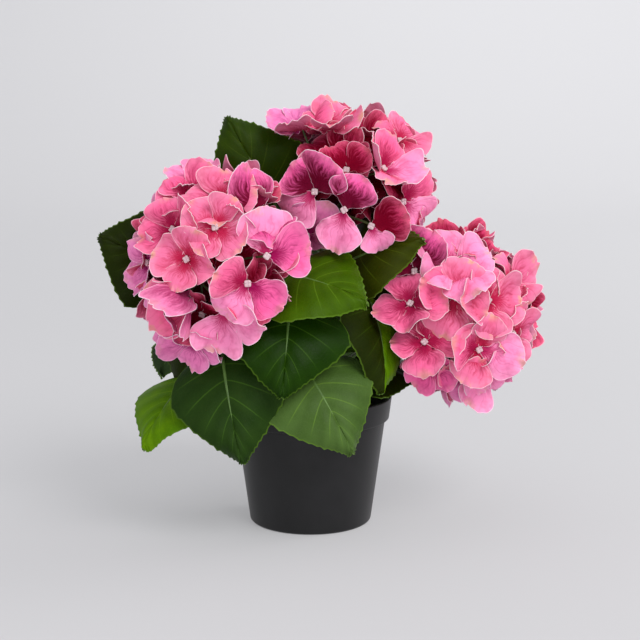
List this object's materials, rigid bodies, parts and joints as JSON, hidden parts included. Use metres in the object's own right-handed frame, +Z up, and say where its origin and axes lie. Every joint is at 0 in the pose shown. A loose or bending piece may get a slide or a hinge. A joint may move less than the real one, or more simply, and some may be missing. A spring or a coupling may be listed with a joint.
{
  "type": "artificial potted hydrangea",
  "caption": "Artificial hydrangea: rounded pink blossom heads and broad toothed leaves on a forked plastic stem, standing in a weighted, tapered dark plastic pot.",
  "frame": {"origin": "centre of the pot's flat underside", "axes": "+Z up along the pot's axis, -Y the front from which the left and right blossom heads both show, +X to the viewer's right"},
  "size_m": [0.3264, 0.2408, 0.3147],
  "materials": {
    "pot": "satin moulded plastic",
    "fill": "rough set ballast coloured as potting soil",
    "stem": "satin green plastic with faint ridges",
    "leaf": "satin coated cloth, dark green with paler veins and a yellow-green cut edge",
    "petal": "matt printed cloth, salmon to magenta pink with a pale cut edge"
  },
  "bodies": {
    "root": {"pot": "pot", "fill": "fill", "main_stem": "stem", "bough_left": "stem", "bough_top": "stem", "bough_right": "stem", "leaves_front": "leaf", "leaves_left": "leaf", "leaves_upper_left": "leaf", "leaves_crown": "leaf", "leaves_right": "leaf", "leaves_low_right": "leaf", "leaves_back": "leaf", "leaves_back_left": "leaf", "blossom_left": "petal", "blossom_top": "petal", "blossom_right": "petal"}
  },
  "joints": []
}
